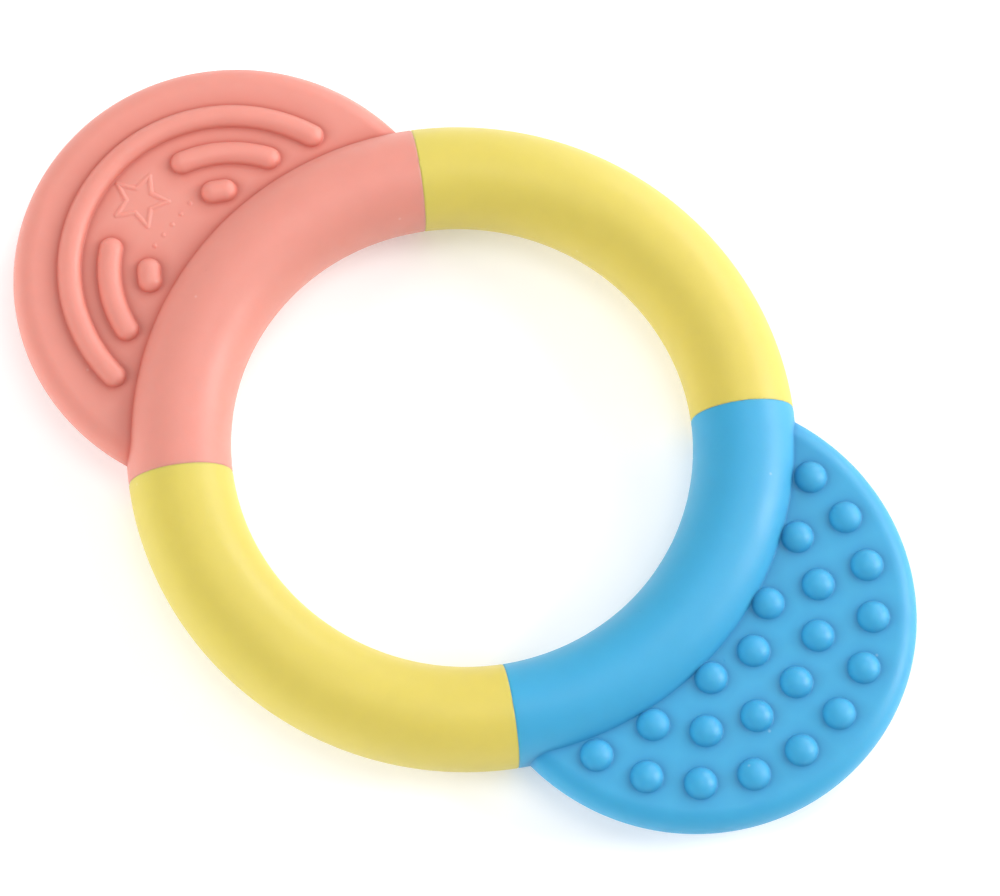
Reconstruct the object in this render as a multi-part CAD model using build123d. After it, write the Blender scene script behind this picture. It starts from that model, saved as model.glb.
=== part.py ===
"""Teething ring: four soft coloured mouldings round one rigid core ring.

Two of the mouldings carry a flat chewing lobe, one with curved ridges and one with
round bumps. The other two are plain grips. Every length is in millimetres. The ring
lies flat: +Z is up, Z = 0 is the surface it rests on, the ring's axis is the Z axis,
and +X points from the ridged lobe to the bumped lobe.
"""

import os
from math import cos, degrees, radians, sin

from build123d import *

# The ring.
RING_RADIUS = 35.5        # centreline of the tube
TUBE_RADIUS = 6.5         # outside of the soft mouldings
MID_HEIGHT = TUBE_RADIUS  # the ring's middle plane, above the surface it rests on

# Where one moulding ends and the next starts, in degrees round the ring from +X.
BLUE_TO_RIGHT_GRIP = 44.0
RIGHT_GRIP_TO_CORAL = 136.3
CORAL_TO_LEFT_GRIP = 225.0
LEFT_GRIP_TO_BLUE = 316.5

# The lap joint between neighbouring mouldings.
SPIGOT_RADIUS = 4.9
SPIGOT_LENGTH = 3.0
SPIGOT_ANGLE = degrees(SPIGOT_LENGTH / RING_RADIUS)

# The rigid core: an H-section ring with cross ribs and flow holes.
CORE_RADIUS = 3.25
CORE_WALL = 1.9           # web and flange thickness
CORE_RIBS = 16
CORE_RIB_THICKNESS = 1.4
CORE_HOLE_RADIUS = 0.8

# The chewing lobes: round plates with a full-round rim.
LOBE_CENTRE = 35.6        # from the ring's axis
LOBE_RADIUS = 28.2
LOBE_HALF_THICKNESS = 2.7

# Bumps stand in rows round a point near the lobe's centre. Each row is
# (row radius, count, step in degrees).
BUMP_CENTRE = LOBE_CENTRE - 0.15
BUMP_ROWS = ((22.6, 11, 17.0), (16.05, 7, 23.7), (9.5, 3, 39.3))
BUMP_BASE_RADIUS = 2.05
BUMP_HEIGHT = 1.3

# Ridges run round a point a little further out than the lobe's centre. Each is
# (radius, first angle, last angle), from the outward direction, to its end centres.
RIDGE_CENTRE = LOBE_CENTRE + 0.8
RIDGE_HALF_WIDTH = 1.5
RIDGE_HEIGHT = 1.15
RIDGES = (
    (20.5, -81.5, 81.5),
    (15.5, 28.1, 69.2),
    (15.5, -69.2, -28.1),
    (10.5, 38.5, 47.0),
    (10.5, -47.0, -38.5),
)

# A small star outline, low on the ridged lobe's upper face, and a row of dots below.
STAR_CENTRE = 51.2        # from the ring's axis
STAR_TIP_RADIUS = 3.6
STAR_NOTCH_RADIUS = 1.7
STAR_POINTS = 5
EMBLEM_LINE = 0.5
EMBLEM_HEIGHT = 0.3
DOT_LINE = 46.0           # distance of the row of dots from the ring's axis
DOT_PITCH = 1.8
DOT_COUNT = 5
DOT_RADIUS = 0.45

REACH = 200.0             # larger than the whole object


def at_middle(shape):
    """Lift a shape made round the origin up to the ring's middle plane."""
    return Pos(0, 0, MID_HEIGHT) * shape


def arc_tube(path_radius, tube_radius, first, last, height=0.0):
    """A round bar bent round the Z axis from angle first to angle last."""
    section = Plane.XZ * Pos(path_radius, height) * Circle(tube_radius)
    bar = revolve(section, axis=Axis.Z, revolution_arc=last - first)
    return Rot(0, 0, first) * bar


def sector(first, last):
    """Everything round the Z axis between two angles."""
    section = Plane.XZ * Pos(REACH / 2, 0) * Rectangle(REACH, REACH)
    return Rot(0, 0, first) * revolve(section, axis=Axis.Z, revolution_arc=last - first)


def cap_sphere(half_width, height):
    """Radius of the circle that stands height above a chord of that half width."""
    return (half_width**2 + height**2) / (2 * height)


def polar(radius, angle):
    return radius * cos(radians(angle)), radius * sin(radians(angle))


def core():
    """The core ring, whole, round the origin, with pockets between its ribs."""
    ring = arc_tube(RING_RADIUS, CORE_RADIUS, 0, 360)
    pitch = 360 / CORE_RIBS
    bay = pitch - degrees(CORE_RIB_THICKNESS / RING_RADIUS)
    floor = CORE_WALL / 2
    for k in range(CORE_RIBS):
        middle = (k + 0.5) * pitch
        for side in (1, -1):
            section = Plane.XZ * Pos(RING_RADIUS, side * (floor + CORE_RADIUS / 2))
            section = section * Rectangle(2 * (CORE_RADIUS - CORE_WALL), CORE_RADIUS)
            pocket = revolve(section, axis=Axis.Z, revolution_arc=bay)
            ring -= Rot(0, 0, middle - bay / 2) * pocket
        hole = Pos(RING_RADIUS, 0, 0) * Cylinder(CORE_HOLE_RADIUS, 2 * CORE_WALL)
        ring -= Rot(0, 0, middle) * hole
    return ring


def spigot_after(angle):
    """A grip's reduced end, which goes on past its last angle."""
    return arc_tube(RING_RADIUS, SPIGOT_RADIUS, angle, angle + SPIGOT_ANGLE)


def spigot_before(angle):
    """A grip's reduced end, which starts before its first angle."""
    return arc_tube(RING_RADIUS, SPIGOT_RADIUS, angle - SPIGOT_ANGLE, angle)


def grip(core_ring, first, last):
    """A plain moulding with a spigot at each end."""
    body = arc_tube(RING_RADIUS, TUBE_RADIUS, first, last)
    return body + spigot_before(first) + spigot_after(last) - core_ring


def lobe_plate(first, last):
    """The part of a round lobe towards +X that stands out from the ring."""
    flat = LOBE_RADIUS - LOBE_HALF_THICKNESS
    section = Pos(flat / 2, 0) * Rectangle(flat, 2 * LOBE_HALF_THICKNESS)
    section += Pos(flat, 0) * Circle(LOBE_HALF_THICKNESS)
    disc = Pos(LOBE_CENTRE, 0, 0) * revolve(Plane.XZ * section, axis=Axis.Z, revolution_arc=360)
    return (disc - Cylinder(RING_RADIUS, REACH)) & sector(first, last)


def bumps():
    """Domes on both faces of a lobe towards +X."""
    ball = cap_sphere(BUMP_BASE_RADIUS, BUMP_HEIGHT)
    height = LOBE_HALF_THICKNESS + BUMP_HEIGHT - ball
    domes = []
    for row_radius, count, step in BUMP_ROWS:
        for k in range(count):
            x, y = polar(row_radius, (k - (count - 1) / 2) * step)
            domes += [Pos(BUMP_CENTRE + x, y, side * height) * Sphere(ball) for side in (1, -1)]
    return domes


def ridges():
    """Rounded bars on both faces of a lobe towards +X."""
    bar = cap_sphere(RIDGE_HALF_WIDTH, RIDGE_HEIGHT)
    height = LOBE_HALF_THICKNESS + RIDGE_HEIGHT - bar
    bars = []
    for radius, first, last in RIDGES:
        for side in (1, -1):
            line = arc_tube(radius, bar, first, last, side * height)
            for end in (first, last):
                line += Pos(*polar(radius, end), side * height) * Sphere(bar)
            bars.append(Pos(RIDGE_CENTRE, 0, 0) * line)
    return bars


def emblem():
    """A raised star outline and a row of dots, on the upper face of a lobe towards +X."""
    half_step = 180 / STAR_POINTS
    corners = [
        polar(STAR_NOTCH_RADIUS if k % 2 else STAR_TIP_RADIUS, k * half_step)
        for k in range(2 * STAR_POINTS)
    ]
    outline = Polyline(*corners, close=True)
    star = make_face(outline)
    line = offset(star, EMBLEM_LINE / 2, kind=Kind.ARC) - offset(star, -EMBLEM_LINE / 2)
    floor = LOBE_HALF_THICKNESS - EMBLEM_HEIGHT
    raised = [Pos(STAR_CENTRE, 0, floor) * extrude(line, 2 * EMBLEM_HEIGHT)]
    for k in range(DOT_COUNT):
        y = (k - (DOT_COUNT - 1) / 2) * DOT_PITCH
        middle = Pos(DOT_LINE, y, floor + EMBLEM_HEIGHT)
        raised.append(middle * Cylinder(DOT_RADIUS, 2 * EMBLEM_HEIGHT))
    return raised


def lobed_moulding(core_ring, details, first, last):
    """A moulding with a lobe towards +X, with sockets for its neighbours' spigots."""
    body = arc_tube(RING_RADIUS, TUBE_RADIUS, first, last)
    body += lobe_plate(first, last)
    for detail in details:
        body += detail
    return body - spigot_before(last) - spigot_after(first) - core_ring


def write(name, shape):
    export_step(at_middle(shape), f"parts/{name}.step")


def main():
    os.makedirs("parts", exist_ok=True)
    core_ring = core()
    right_grip = grip(core_ring, BLUE_TO_RIGHT_GRIP, RIGHT_GRIP_TO_CORAL)
    left_grip = grip(core_ring, CORAL_TO_LEFT_GRIP, LEFT_GRIP_TO_BLUE)
    blue = lobed_moulding(core_ring, bumps(), LEFT_GRIP_TO_BLUE - 360, BLUE_TO_RIGHT_GRIP)
    details = ridges() + emblem()
    coral = lobed_moulding(core_ring, details, RIGHT_GRIP_TO_CORAL - 180, CORAL_TO_LEFT_GRIP - 180)
    write("core_ring", core_ring)
    write("yellow_grip_right", right_grip)
    write("yellow_grip_left", left_grip)
    write("blue_bump_teether", blue)
    write("coral_ridge_teether", Rot(0, 0, 180) * coral)


main()
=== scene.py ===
"""The looks of the teething ring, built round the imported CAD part.

The four soft mouldings are made again as fine meshes from distance functions, with the
small fillets, the hairline joints and the faint mould line that the CAD leaves out. They are
closed skins with flat ends: the lap joints and the hollow for the core are only in the CAD.
Shapes are worked out in millimetres, with Z = 0 in the ring's middle plane and the moulding's
own middle towards +X, then turned, lifted and scaled into the part's frame.
"""

import math

import bmesh
import bpy
import numpy as np
from mathutils import Matrix, Vector


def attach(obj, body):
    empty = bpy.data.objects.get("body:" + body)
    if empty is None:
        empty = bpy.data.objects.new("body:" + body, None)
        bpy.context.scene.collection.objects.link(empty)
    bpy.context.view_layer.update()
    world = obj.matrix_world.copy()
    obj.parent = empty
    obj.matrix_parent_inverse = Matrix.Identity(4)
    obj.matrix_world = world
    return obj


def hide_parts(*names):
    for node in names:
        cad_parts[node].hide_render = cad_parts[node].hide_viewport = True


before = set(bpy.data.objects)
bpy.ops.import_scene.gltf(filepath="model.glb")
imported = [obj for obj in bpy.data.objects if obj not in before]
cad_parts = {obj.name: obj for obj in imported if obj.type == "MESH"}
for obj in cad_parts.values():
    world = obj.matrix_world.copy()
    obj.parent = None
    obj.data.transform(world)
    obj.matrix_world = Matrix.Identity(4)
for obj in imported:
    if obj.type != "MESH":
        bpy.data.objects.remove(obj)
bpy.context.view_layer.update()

MM = 0.001
FAR = 1e9    # further than anything here, in millimetres

# The ring, as in the CAD part.
RING_RADIUS = 35.5
TUBE_RADIUS = 6.5

# Where each moulding starts and ends round the ring, in degrees from its own middle direction.
BLUE_ENDS = (-43.5, 44.0)
CORAL_ENDS = (-43.7, 45.0)
RIGHT_GRIP_ENDS = (-46.0, 46.3)
LEFT_GRIP_ENDS = (-45.0, 46.5)

# The chewing lobes.
LOBE_CENTRE = 35.6
LOBE_RADIUS = 28.2
LOBE_HALF_THICKNESS = 2.7
CREASE_FILLET = 0.09
# Painted shade: the colour is made darker where the tube, bumps and ridges meet the plate.
CREASE_SHADE_WIDTH = 0.4        # how far the painted shade in a crease reaches
CREASE_SHADE_SPREAD = 1.7       # how far a fainter share of the painted shade reaches along the plate
CREASE_SHADE_RISE = 3.0         # how much faster that share fades going up from the plate
SHADE_SPREAD_SHARE = 0.42

BUMP_CENTRE = LOBE_CENTRE - 0.15
BUMP_ROWS = ((22.6, 11, 17.0), (16.05, 7, 23.7), (9.5, 3, 39.3))
BUMP_BASE_RADIUS = 2.05
BUMP_HEIGHT = 1.3
BUMP_FILLET = 0.09

RIDGE_CENTRE = LOBE_CENTRE + 0.8
RIDGE_HALF_WIDTH = 1.5
RIDGE_HEIGHT = 1.15
RIDGE_FILLET = 0.15
RIDGES = (
    (20.5, -81.5, 81.5),
    (15.5, 28.1, 69.2),
    (15.5, -69.2, -28.1),
    (10.5, 38.5, 47.0),
    (10.5, -47.0, -38.5),
)

# The raised star outline and row of dots, lower than in the CAD part and with smaller dots.
STAR_CENTRE = 51.2
STAR_TIP_RADIUS = 3.6
STAR_NOTCH_RADIUS = 1.7
STAR_POINTS = 5
DOT_LINE = 46.0
DOT_PITCH = 1.8
DOT_COUNT = 5
EMBLEM_HEIGHT = 0.16
EMBLEM_HALF_WIDTH = 0.28
EMBLEM_FILLET = 0.12

# Fine surface features.
MOULD_LINE_HEIGHT = 0.035
MOULD_LINE_WIDTH = 0.11
JOINT_GROOVE_DEPTH = 0.07
JOINT_GROOVE_WIDTH = 0.11

PAINTED_SHADE_ATTRIBUTE = "painted_crease_shade"    # the name of the mesh attribute that holds the painted crease shade

# Meshing.
GRID_STEP = 0.46
SHADE_STEP = 0.25      # largest change in the painted crease shade along one edge
EXTRA_ANGLE = 2.5       # how far past its ends a moulding is meshed before it is cut
CUT_TOLERANCE = 1e-5
LEAST_SLOPE = 0.2       # smallest squared gradient that a step towards the surface divides by
REFINEMENTS = ((9.0, 0.26), (9.0, 0.15), (15.0, 0.1))   # (bend in degrees, shortest edge)


def link(obj):
    bpy.context.scene.collection.objects.link(obj)
    return obj


def polar(radius, angle):
    return radius * math.cos(math.radians(angle)), radius * math.sin(math.radians(angle))


def cap_sphere(half_width, height):
    """Radius of the circle that stands height above a chord of that half width."""
    return (half_width**2 + height**2) / (2 * height)


# ---------------------------------------------------------------- distance functions


def smooth_union(a, b, size):
    """The nearer of two distances, with a fillet about as wide as size where they meet."""
    h = np.maximum(size - np.abs(a - b), 0.0) / size
    return np.minimum(a, b) - h * h * size / 4


def crease_shade(plate, other):
    """Painted shade: 1 where another surface meets the plate, falling to 0 away from there, faster
    upwards.
    """
    near = np.exp(-(plate**2 + other**2) / CREASE_SHADE_WIDTH**2)
    wide = np.exp(-((CREASE_SHADE_RISE * plate) ** 2 + other**2) / CREASE_SHADE_SPREAD**2)
    return (1 - SHADE_SPREAD_SHARE) * near + SHADE_SPREAD_SHARE * wide


def mould_line(z):
    """How far the mould's parting line stands out at height z."""
    return MOULD_LINE_HEIGHT * np.exp(-((z / MOULD_LINE_WIDTH) ** 2))


def tube_distance(p, ends):
    x, y, z = p[..., 0], p[..., 1], p[..., 2]
    groove = 0.0
    for end in ends:
        to_end = y * math.cos(math.radians(end)) - x * math.sin(math.radians(end))
        groove = groove + JOINT_GROOVE_DEPTH * np.exp(-((to_end / JOINT_GROOVE_WIDTH) ** 2))
    across = np.hypot(x, y) - RING_RADIUS
    return np.hypot(across, z) - (TUBE_RADIUS + mould_line(z) - groove)


def plate_distance(p):
    x, y, z = p[..., 0], p[..., 1], p[..., 2]
    out = np.hypot(x - LOBE_CENTRE, y) - (LOBE_RADIUS - LOBE_HALF_THICKNESS)
    plate = np.hypot(np.maximum(out, 0.0), z) - LOBE_HALF_THICKNESS
    plate -= np.where(out > 0, mould_line(z), 0.0)
    return np.maximum(plate, RING_RADIUS - np.hypot(x, y))


def bump_distance(p):
    ball = cap_sphere(BUMP_BASE_RADIUS, BUMP_HEIGHT)
    up = np.abs(p[..., 2]) - (LOBE_HALF_THICKNESS + BUMP_HEIGHT - ball)
    near = np.full(up.shape, FAR)
    for row_radius, count, step in BUMP_ROWS:
        for k in range(count):
            x, y = polar(row_radius, (k - (count - 1) / 2) * step)
            flat = (p[..., 0] - BUMP_CENTRE - x) ** 2 + (p[..., 1] - y) ** 2
            near = np.minimum(near, flat)
    return np.sqrt(near + up**2) - ball


def ridge_distance(p):
    bar = cap_sphere(RIDGE_HALF_WIDTH, RIDGE_HEIGHT)
    up = np.abs(p[..., 2]) - (LOBE_HALF_THICKNESS + RIDGE_HEIGHT - bar)
    x, y = p[..., 0] - RIDGE_CENTRE, p[..., 1]
    out, angle = np.hypot(x, y), np.degrees(np.arctan2(y, x))
    near = np.full(up.shape, FAR)
    for radius, first, last in RIDGES:
        flat = np.abs(out - radius)
        for end in (first, last):
            ex, ey = polar(radius, end)
            beyond = angle < first if end == first else angle > last
            flat = np.where(beyond, np.hypot(x - ex, y - ey), flat)
        near = np.minimum(near, flat)
    return np.hypot(near, up) - bar


def emblem_distance(p):
    """A star outline and a row of dots, on the upper face only."""
    wire = cap_sphere(EMBLEM_HALF_WIDTH, EMBLEM_HEIGHT)
    up = p[..., 2] - (LOBE_HALF_THICKNESS + EMBLEM_HEIGHT - wire)
    near = np.full(up.shape, FAR)
    corners = [
        polar(STAR_NOTCH_RADIUS if k % 2 else STAR_TIP_RADIUS, k * 180 / STAR_POINTS)
        for k in range(2 * STAR_POINTS)
    ]
    x, y = p[..., 0] - STAR_CENTRE, p[..., 1]
    for (ax, ay), (bx, by) in zip(corners, corners[1:] + corners[:1]):
        length = (bx - ax) ** 2 + (by - ay) ** 2
        t = np.clip(((x - ax) * (bx - ax) + (y - ay) * (by - ay)) / length, 0, 1)
        near = np.minimum(near, np.hypot(x - ax - t * (bx - ax), y - ay - t * (by - ay)))
    for k in range(DOT_COUNT):
        dot = np.hypot(p[..., 0] - DOT_LINE, y - (k - (DOT_COUNT - 1) / 2) * DOT_PITCH)
        near = np.minimum(near, dot)
    return np.hypot(near, up) - wire


def right_grip_shape(p):
    return tube_distance(p, RIGHT_GRIP_ENDS)


def left_grip_shape(p):
    return tube_distance(p, LEFT_GRIP_ENDS)


def bumped_shape(p):
    lobed = smooth_union(tube_distance(p, BLUE_ENDS), plate_distance(p), CREASE_FILLET)
    return smooth_union(lobed, bump_distance(p), BUMP_FILLET)


def ridged_shape(p):
    lobed = smooth_union(tube_distance(p, CORAL_ENDS), plate_distance(p), CREASE_FILLET)
    ridged = smooth_union(lobed, ridge_distance(p), RIDGE_FILLET)
    return smooth_union(ridged, emblem_distance(p), EMBLEM_FILLET)


# Painted shade in the creases of each moulding: how far each point's colour is darkened.
def no_crease_shade(p):
    return np.zeros(len(p))


def bumped_crease_shade(p):
    plate = plate_distance(p)
    along_tube = crease_shade(plate, tube_distance(p, BLUE_ENDS))
    return np.maximum(along_tube, crease_shade(plate, bump_distance(p)))


def ridged_crease_shade(p):
    plate = plate_distance(p)
    along_tube = crease_shade(plate, tube_distance(p, CORAL_ENDS))
    return np.maximum(along_tube, crease_shade(plate, ridge_distance(p)))


# ---------------------------------------------------------------------- meshing


def slope(shape, p, step=0.004):
    """The gradient of a distance function at each point."""
    g = np.empty_like(p)
    for axis in range(3):
        d = np.zeros(3)
        d[axis] = step
        g[:, axis] = (shape(p + d) - shape(p - d)) / (2 * step)
    return g


def settle(shape, p, rounds=3):
    """Moves points onto the surface where the distance is zero."""
    for _ in range(rounds):
        g = slope(shape, p)
        p = p - (shape(p) / np.maximum((g * g).sum(1), LEAST_SLOPE))[:, None] * g
    return p


def surface_net(values, low, step):
    """Points and quads of the zero surface of a grid of values, one point per crossed cell."""
    inside = values < 0
    nx, ny, nz = (n - 1 for n in values.shape)
    total, count = np.zeros((nx, ny, nz, 3)), np.zeros((nx, ny, nz))
    size = (nx, ny, nz)
    crossings = []
    for axis in range(3):
        lower = tuple(slice(0, size[k]) if k == axis else slice(None) for k in range(3))
        upper = tuple(slice(1, None) if k == axis else slice(None) for k in range(3))
        crossed = inside[lower] != inside[upper]
        index = np.argwhere(crossed)
        a, b = values[lower][crossed], values[upper][crossed]
        place = index.astype(float)
        place[:, axis] += a / (a - b)
        around = []
        others = [k for k in range(3) if k != axis]
        for da, db in ((-1, -1), (0, -1), (0, 0), (-1, 0)):
            cell = index.copy()
            cell[:, others[0]] += da
            cell[:, others[1]] += db
            around.append(cell)
            ok = ((cell >= 0) & (cell < size)).all(1)
            at = tuple(cell[ok].T)
            np.add.at(total, at, place[ok])
            np.add.at(count, at, 1)
        crossings.append((around, inside[lower][crossed], axis))
    number = np.cumsum(count.ravel() > 0).reshape(size) - 1
    used = count > 0
    points = total[used] / count[used][:, None] * step + low
    quads = []
    for around, solid_below, axis in crossings:
        ok = np.ones(len(around[0]), bool)
        for cell in around:
            ok &= ((cell >= 0) & (cell < size)).all(1)
        quad = np.stack([number[tuple(cell[ok].T)] for cell in around], 1)
        flip = solid_below[ok] if axis == 1 else ~solid_below[ok]
        quad[flip] = quad[flip][:, ::-1]
        quads.append(quad)
    return points, np.concatenate(quads)


def edges_of(triangles):
    """Each triangle's edges as sorted pairs, and the list of different ones."""
    sides = np.sort(triangles[:, [[0, 1], [1, 2], [2, 0]]].reshape(-1, 2), axis=1)
    key = sides[:, 0] * (triangles.max() + 1) + sides[:, 1]
    _, first, which = np.unique(key, return_index=True, return_inverse=True)
    return sides[first], which.reshape(-1, 3)


def relax(shape, p, triangles, rounds=2, share=0.5):
    """Moves points towards their neighbours' mean, then back onto the surface."""
    pairs, which = edges_of(triangles)
    degree = np.bincount(pairs.ravel(), minlength=len(p))
    border = np.zeros(len(p), bool)
    single = np.bincount(which.ravel(), minlength=len(pairs)) == 1
    border[pairs[single].ravel()] = True
    for _ in range(rounds):
        mean = np.stack(
            [
                np.bincount(pairs[:, 0], p[pairs[:, 1], k], len(p))
                + np.bincount(pairs[:, 1], p[pairs[:, 0], k], len(p))
                for k in range(3)
            ],
            1,
        ) / degree[:, None]
        moved = p + share * (mean - p)
        moved[border] = p[border]
        p = settle(shape, moved, 2)
    return p


def refine(shape, painted_shade, p, triangles, bend, shortest):
    """Splits each edge longer than shortest that bends more than bend degrees or crosses a step in
    the painted crease shade.
    """
    g = slope(shape, p)
    g /= np.linalg.norm(g, axis=1)[:, None]
    pairs, which = edges_of(triangles)
    a, b = pairs.T
    turned = (g[a] * g[b]).sum(1) < math.cos(math.radians(bend))
    shade_level = painted_shade(p)
    turned |= np.abs(shade_level[a] - shade_level[b]) > SHADE_STEP
    split = turned & (np.linalg.norm(p[a] - p[b], axis=1) > shortest)
    middle = np.full(len(pairs), -1)
    middle[split] = len(p) + np.arange(split.sum())
    p = np.concatenate([p, settle(shape, (p[a[split]] + p[b[split]]) / 2)])
    cut = middle[which]
    count = (cut >= 0).sum(1)
    made = [triangles[count == 0]]
    t, m = triangles[count == 3], cut[count == 3]
    for corner in range(3):
        made.append(np.stack([t[:, corner], m[:, corner], m[:, corner - 1]], 1))
    made.append(m)
    for side in range(3):
        order = [side, (side + 1) % 3, (side + 2) % 3]
        one = (count == 1) & (cut[:, side] >= 0)
        t, m = triangles[one][:, order], cut[one][:, side]
        made += [np.stack([t[:, 0], m, t[:, 2]], 1), np.stack([m, t[:, 1], t[:, 2]], 1)]
        two = (count == 2) & (cut[:, (side + 2) % 3] < 0)
        t, m = triangles[two][:, order], cut[two][:, order]
        made.append(np.stack([m[:, 0], t[:, 1], m[:, 1]], 1))
        first = np.linalg.norm(p[t[:, 0]] - p[m[:, 1]], axis=1)
        second = np.linalg.norm(p[m[:, 0]] - p[t[:, 2]], axis=1)
        near = first < second
        u, v = t[near], m[near]
        made.append(np.stack([u[:, 0], v[:, 0], v[:, 1]], 1))
        made.append(np.stack([u[:, 0], v[:, 1], u[:, 2]], 1))
        u, v = t[~near], m[~near]
        made.append(np.stack([u[:, 0], v[:, 0], u[:, 2]], 1))
        made.append(np.stack([v[:, 0], v[:, 1], u[:, 2]], 1))
    return p, np.concatenate(made)


def shape_mesh(shape, painted_shade, ends, reach):
    """Points and triangles of a moulding's skin, running a little past its two ends."""
    margin = 2 * GRID_STEP
    limit = math.radians(max(-ends[0], ends[1]) + EXTRA_ANGLE)
    low = np.array([
        (RING_RADIUS - TUBE_RADIUS) * math.cos(limit) - margin,
        -(RING_RADIUS + TUBE_RADIUS) * math.sin(limit) - margin,
        -TUBE_RADIUS - margin,
    ])
    high = np.array([reach + margin, -low[1], -low[2]])
    axes = [np.arange(low[k], high[k] + GRID_STEP, GRID_STEP) for k in range(3)]
    grid = np.stack(np.meshgrid(*axes, indexing="ij"), -1)
    points, quads = surface_net(shape(grid), low, GRID_STEP)
    turn = np.abs(np.arctan2(points[:, 1], points[:, 0]))
    quads = quads[(turn[quads] < limit).all(1)]
    kept, quads = np.unique(quads, return_inverse=True)
    points, quads = points[kept], quads.reshape(-1, 4)
    points = settle(shape, points, 4)
    diagonals = points[quads[:, :2]] - points[quads[:, 2:]]
    other = np.linalg.norm(diagonals[:, 0], axis=1) > np.linalg.norm(diagonals[:, 1], axis=1)
    quads[other] = np.roll(quads[other], 1, axis=1)
    triangles = np.concatenate([quads[:, [0, 1, 2]], quads[:, [0, 2, 3]]])
    points = relax(shape, points, triangles, 3)
    for bend, shortest in REFINEMENTS:
        points, triangles = refine(shape, painted_shade, points, triangles, bend, shortest)
        points = relax(shape, points, triangles, 2)
    return points, triangles


def moulding(name, shape, painted_shade, ends, reach, turn):
    """A soft moulding as an object, cut at its ends and turned to its place on the ring."""
    points, triangles = shape_mesh(shape, painted_shade, ends, reach)
    mesh = bpy.data.meshes.new(name)
    mesh.from_pydata(points.tolist(), [], triangles.tolist())
    bm = bmesh.new()
    bm.from_mesh(mesh)
    for side, end in zip((-1, 1), ends):
        edge = math.radians(end)
        normal = side * Vector((-math.sin(edge), math.cos(edge), 0))
        cut = bmesh.ops.bisect_plane(
            bm,
            geom=bm.verts[:] + bm.edges[:] + bm.faces[:],
            dist=CUT_TOLERANCE,
            plane_co=(0, 0, 0),
            plane_no=normal,
            clear_outer=True,
        )
        rim = [e for e in cut["geom_cut"] if isinstance(e, bmesh.types.BMEdge)]
        bmesh.ops.contextual_create(bm, geom=rim)
    bm.to_mesh(mesh)
    bm.free()
    places = np.empty((len(mesh.vertices), 3))
    mesh.vertices.foreach_get("co", places.ravel())
    normals = slope(shape, places)
    # The painted crease shade, kept on the mesh for the material to darken the colour with.
    shade_level = mesh.attributes.new(PAINTED_SHADE_ATTRIBUTE, "FLOAT", "POINT")
    shade_level.data.foreach_set("value", painted_shade(places))
    # The flat end faces have many corners, and the skin has three or four.
    mesh.polygons.foreach_set("use_smooth", [len(f.vertices) < 5 for f in mesh.polygons])
    normals /= np.linalg.norm(normals, axis=1)[:, None]
    mesh.normals_split_custom_set_from_vertices(normals)
    place = Matrix.Rotation(math.radians(turn), 4, "Z")
    lift = Matrix.Translation((0, 0, TUBE_RADIUS * MM)) @ Matrix.Scale(MM, 4)
    mesh.transform(lift @ place)
    mesh.update()
    return link(bpy.data.objects.new(name, mesh))


# --------------------------------------------------------------------- materials


def add_node(mat, kind, **values):
    """A new node with its inputs set or linked, by name, or by number as i0, i1 and so on."""
    made = mat.node_tree.nodes.new("ShaderNode" + kind)
    for key, value in values.items():
        numbered = key[0] == "i" and key[1:].isdigit()
        socket = made.inputs[int(key[1:]) if numbered else key]
        if isinstance(value, bpy.types.NodeSocket):
            mat.node_tree.links.new(value, socket)
        else:
            socket.default_value = value
    return made


def noise(mat, where, scale, detail):
    return add_node(mat, "TexNoise", Vector=where, Scale=scale, Detail=detail).outputs["Fac"]


def stretch(mat, value, low, high, to_low, to_high):
    """Value, with low..high mapped to to_low..to_high and held at those ends."""
    made = add_node(mat, "MapRange", i0=value, i1=low, i2=high, i3=to_low, i4=to_high)
    return made.outputs[0]


def product(mat, a, b):
    made = add_node(mat, "Math", i0=a, i1=b)
    made.operation = "MULTIPLY"
    return made.outputs[0]


def blend(mat, share, a, b):
    """Colour a turned into colour b by the share."""
    made = mat.node_tree.nodes.new("ShaderNodeMix")
    made.data_type = "RGBA"
    mat.node_tree.links.new(share, made.inputs["Factor"])
    for socket, value in ((made.inputs[6], a), (made.inputs[7], b)):
        if isinstance(value, bpy.types.NodeSocket):
            mat.node_tree.links.new(value, socket)
        else:
            socket.default_value = value
    return made.outputs[2]


def shade(colour, amount):
    return (*(c * amount for c in colour), 1)


def new_material(name):
    """A material, its shader and its object coordinates, in metres."""
    mat = bpy.data.materials.new(name)
    mat.use_nodes = True
    where = mat.node_tree.nodes.new("ShaderNodeTexCoord").outputs["Object"]
    return mat, mat.node_tree.nodes["Principled BSDF"], where


def scattered(mat, where, cells, share, inner, outer):
    """Soft-edged spots, one in a share of the cells: cells per metre, sizes in cells."""
    cell = add_node(mat, "TexVoronoi", Vector=where, Scale=cells)
    spot = stretch(mat, cell.outputs["Distance"], inner, outer, 1, 0)
    red = mat.node_tree.nodes.new("ShaderNodeSeparateColor")
    mat.node_tree.links.new(cell.outputs["Color"], red.inputs[0])
    chosen = add_node(mat, "Math", i0=red.outputs[0], i1=share)
    chosen.operation = "LESS_THAN"
    return product(mat, spot, chosen.outputs[0])


CREASE_SHADE_SHARE = 0.85      # how far the painted crease shade turns the colour to its darker copy at its strongest
SCATTER_DEPTH = 0.002    # how far light travels inside the elastomer, in metres
PEEL_DEPTH = 0.000007    # in metres, as the two below
PIT_DEPTH = 0.00003
GRAIN_DEPTH = 0.00001
DUST_COLOUR = (0.85, 0.83, 0.8, 1)


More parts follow.
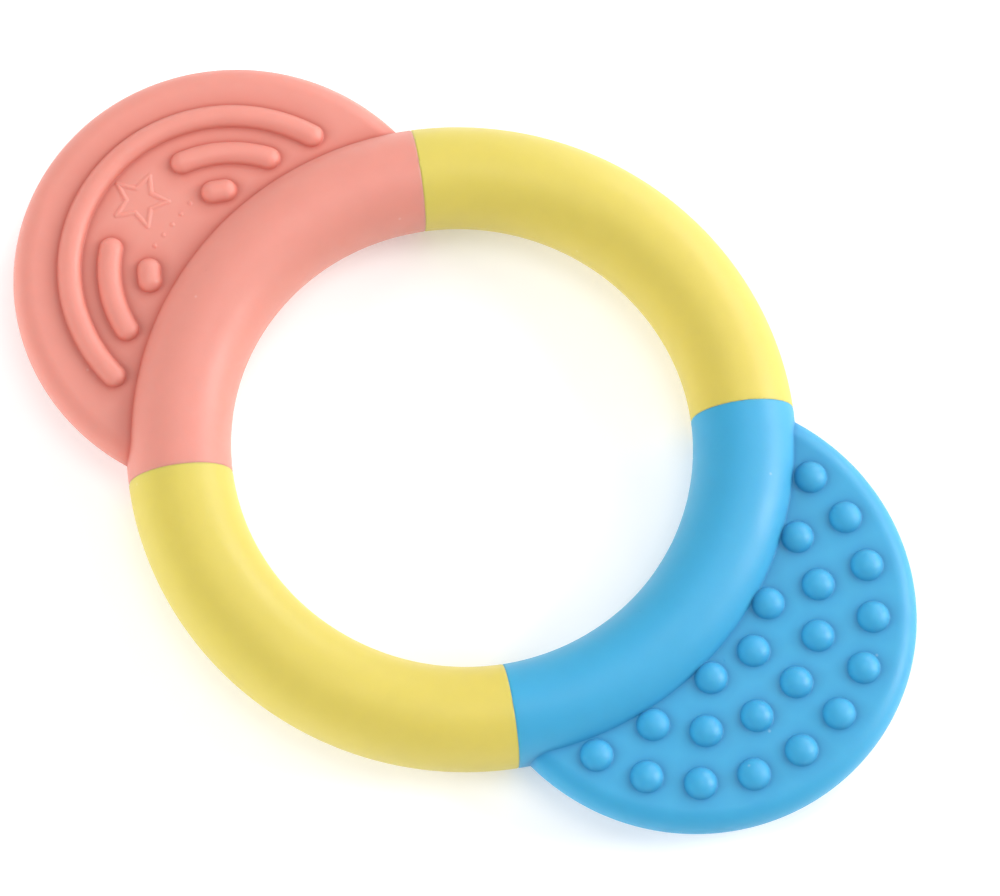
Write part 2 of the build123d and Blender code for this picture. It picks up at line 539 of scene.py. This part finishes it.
def elastomer(name, colour, shade_power, scatter):
    """Satin moulded elastomer: cloudy colour, fine orange peel, a little dust and a few pits.

    In a crease the colour is painted darker, raised to the power that is the third argument, and
    scatter is how far each of red, green and blue travels inside, as a share of SCATTER_DEPTH.
    """
    mat, shader, where = new_material(name)
    link_to = mat.node_tree.links.new
    clouds = noise(mat, where, scale=38, detail=3)
    tint = blend(mat, clouds, shade(colour, 0.95), shade(colour, 1.05))
    mottle = noise(mat, where, scale=420, detail=4)
    streaks = stretch(mat, mottle, low=0.35, high=0.75, to_low=0, to_high=0.14)
    tint = blend(mat, streaks, tint, shade(colour, 0.82))
    # Painted shade: in creases the colour turns to a darker, deeper copy of itself.
    shade_node = mat.node_tree.nodes.new("ShaderNodeAttribute")
    shade_node.attribute_name = PAINTED_SHADE_ATTRIBUTE
    shaded_colour = (*(c**shade_power for c in colour), 1)
    tint = blend(mat, product(mat, shade_node.outputs["Fac"], CREASE_SHADE_SHARE), tint, shaded_colour)
    dust = scattered(mat, where, cells=210, share=0.25, inner=0.02, outer=0.055)
    tint = blend(mat, product(mat, dust, 0.14), tint, DUST_COLOUR)
    link_to(tint, shader.inputs["Base Color"])
    patches = noise(mat, where, scale=110, detail=3)
    rough = stretch(mat, patches, low=0.3, high=0.7, to_low=0.44, to_high=0.56)
    link_to(rough, shader.inputs["Roughness"])
    peel = noise(mat, where, scale=1500, detail=3)
    pits = scattered(mat, where, cells=260, share=0.12, inner=0.02, outer=0.06)
    fine = add_node(mat, "Bump", Strength=1.0, Distance=PEEL_DEPTH, Height=peel)
    coarse = add_node(
        mat, "Bump", Strength=1.0, Distance=PIT_DEPTH, Height=pits, Normal=fine.outputs[0]
    )
    coarse.invert = True
    link_to(coarse.outputs[0], shader.inputs["Normal"])
    shader.inputs["Subsurface Weight"].default_value = 0.5
    shader.inputs["Subsurface Radius"].default_value = scatter
    shader.inputs["Subsurface Scale"].default_value = SCATTER_DEPTH
    shader.inputs["Sheen Weight"].default_value = 0.06
    shader.inputs["Sheen Roughness"].default_value = 0.5
    return mat


def rigid_plastic(name, colour):
    """Uncoloured moulded plastic with flow clouds and a fine grain."""
    mat, shader, where = new_material(name)
    link_to = mat.node_tree.links.new
    clouds = noise(mat, where, scale=60, detail=4)
    link_to(blend(mat, clouds, shade(colour, 0.93), shade(colour, 1.03)), shader.inputs["Base Color"])
    patches = noise(mat, where, scale=240, detail=3)
    rough = stretch(mat, patches, low=0.3, high=0.7, to_low=0.34, to_high=0.46)
    link_to(rough, shader.inputs["Roughness"])
    height = noise(mat, where, scale=1800, detail=2)
    grain = add_node(mat, "Bump", Strength=1.0, Distance=GRAIN_DEPTH, Height=height)
    link_to(grain.outputs[0], shader.inputs["Normal"])
    return mat


CORAL = (0.68, 0.262, 0.212)
BLUE = (0.04, 0.345, 0.585)
YELLOW = (0.62, 0.515, 0.1)
IVORY = (0.82, 0.80, 0.75)

coral_mat = elastomer("coral_elastomer", CORAL, shade_power=1.6, scatter=(1.0, 0.35, 0.25))
blue_mat = elastomer("blue_elastomer", BLUE, shade_power=1.35, scatter=(0.25, 0.7, 1.0))
yellow_mat = elastomer("yellow_elastomer", YELLOW, shade_power=1.4, scatter=(1.0, 0.85, 0.25))
core_mat = rigid_plastic("core_plastic", IVORY)

LOBE_REACH = LOBE_CENTRE + LOBE_RADIUS
TUBE_REACH = RING_RADIUS + TUBE_RADIUS

# Each row is the piece, its CAD node, material slot and material, its shape and painted crease shade,
# its ends, its furthest reach from the ring's axis, and the turn to its place on the ring.
MOULDINGS = (
    ("coral_teether", "coral_ridge_teether", "coral_elastomer", coral_mat,
     ridged_shape, ridged_crease_shade, CORAL_ENDS, LOBE_REACH, 180),
    ("blue_teether", "blue_bump_teether", "blue_elastomer", blue_mat,
     bumped_shape, bumped_crease_shade, BLUE_ENDS, LOBE_REACH, 0),
    ("yellow_grip_a", "yellow_grip_left", "yellow_elastomer", yellow_mat,
     left_grip_shape, no_crease_shade, LEFT_GRIP_ENDS, TUBE_REACH, -90),
    ("yellow_grip_b", "yellow_grip_right", "yellow_elastomer", yellow_mat,
     right_grip_shape, no_crease_shade, RIGHT_GRIP_ENDS, TUBE_REACH, 90),
)
for name, node, slot, mat, shape, painted_shade, ends, reach, turn in MOULDINGS:
    piece = moulding(name, shape, painted_shade, ends, reach, turn)
    piece.data.materials.append(mat)
    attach(piece, "root")
    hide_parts(node)

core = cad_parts["core_ring"]
for k in range(len(core.data.materials)):
    core.material_slots[k].material = core_mat

# ------------------------------------------------------------------- floor and light

FLOOR_HALF_WIDTH = 3.0
FLOOR_GLOW = 0.2
WORLD_STRENGTH = 0.45
LIGHT_SIZE = 0.6
LIGHT_DISTANCE = 1.2

# Each light's name, azimuth and elevation in degrees, and power in watts.
LIGHTS = (
    ("key", 45, 25, 11.5),
    ("key_side", 90, 25, 6.0),
    ("key_top", 60, 80, 2.4),
    ("fill_left", 225, 25, 8.0),
    ("fill_near", 280, 30, 2.5),
)


def floor():
    mesh = bpy.data.meshes.new("floor")
    w = FLOOR_HALF_WIDTH
    mesh.from_pydata([(-w, -w, 0), (w, -w, 0), (w, w, 0), (-w, w, 0)], [], [(0, 1, 2, 3)])
    obj = link(bpy.data.objects.new("floor", mesh))
    mat, shader, where = new_material("floor_paper")
    fibres = noise(mat, where, scale=300, detail=4)
    paper = blend(mat, fibres, (0.88, 0.88, 0.88, 1), (0.92, 0.92, 0.92, 1))
    mat.node_tree.links.new(paper, shader.inputs["Base Color"])
    shader.inputs["Roughness"].default_value = 0.9
    shader.inputs["Specular IOR Level"].default_value = 0.0
    shader.inputs["Emission Color"].default_value = (1, 1, 1, 1)
    shader.inputs["Emission Strength"].default_value = FLOOR_GLOW
    obj.data.materials.append(mat)
    return obj


def towards(azimuth, elevation):
    """The direction at an azimuth and elevation in degrees."""
    a, e = math.radians(azimuth), math.radians(elevation)
    return Vector((math.cos(a) * math.cos(e), math.sin(a) * math.cos(e), math.sin(e)))


def area_light(name, azimuth, elevation, power):
    """A round soft light that looks at the origin from a direction given in degrees."""
    data = bpy.data.lights.new(name, "AREA")
    data.shape = "DISK"
    data.size = LIGHT_SIZE
    data.energy = power
    obj = link(bpy.data.objects.new(name, data))
    direction = towards(azimuth, elevation)
    obj.location = direction * LIGHT_DISTANCE
    obj.rotation_mode = "QUATERNION"
    obj.rotation_quaternion = direction.to_track_quat("Z", "Y")
    return obj


floor()

world = bpy.data.worlds.new("studio")
bpy.context.scene.world = world
bpy.context.scene.view_settings.view_transform = "Standard"
world.use_nodes = True
world.node_tree.nodes["Background"].inputs["Color"].default_value = (1, 1, 1, 1)
world.node_tree.nodes["Background"].inputs["Strength"].default_value = WORLD_STRENGTH

for light in LIGHTS:
    lamp = area_light(*light)
    # Only the keys show as highlights.
    lamp.visible_glossy = light[0].startswith("key")

# ------------------------------------------------------------------------ camera

# Where the camera stands, seen from the point it is aimed at, in degrees and metres, and its
# turn about its own axis.
CAMERA_AIM = Vector((0.004, 0.0025, 0.0065))
CAMERA_AZIMUTH = -62.7
CAMERA_ELEVATION = 72.6
CAMERA_DISTANCE = 0.63
CAMERA_ROLL = 10.0
LENS = 180.9
SENSOR_WIDTH = 36

data = bpy.data.cameras.new("camera")
data.lens = LENS
data.sensor_width = SENSOR_WIDTH
data.clip_start, data.clip_end = 0.01, 20
camera = link(bpy.data.objects.new("camera", data))
back = towards(CAMERA_AZIMUTH, CAMERA_ELEVATION)
level = back.to_track_quat("Z", "Y").to_matrix().to_4x4()
camera.matrix_world = (
    Matrix.Translation(CAMERA_AIM + back * CAMERA_DISTANCE)
    @ level
    @ Matrix.Rotation(math.radians(CAMERA_ROLL), 4, "Z")
)
bpy.context.scene.camera = camera
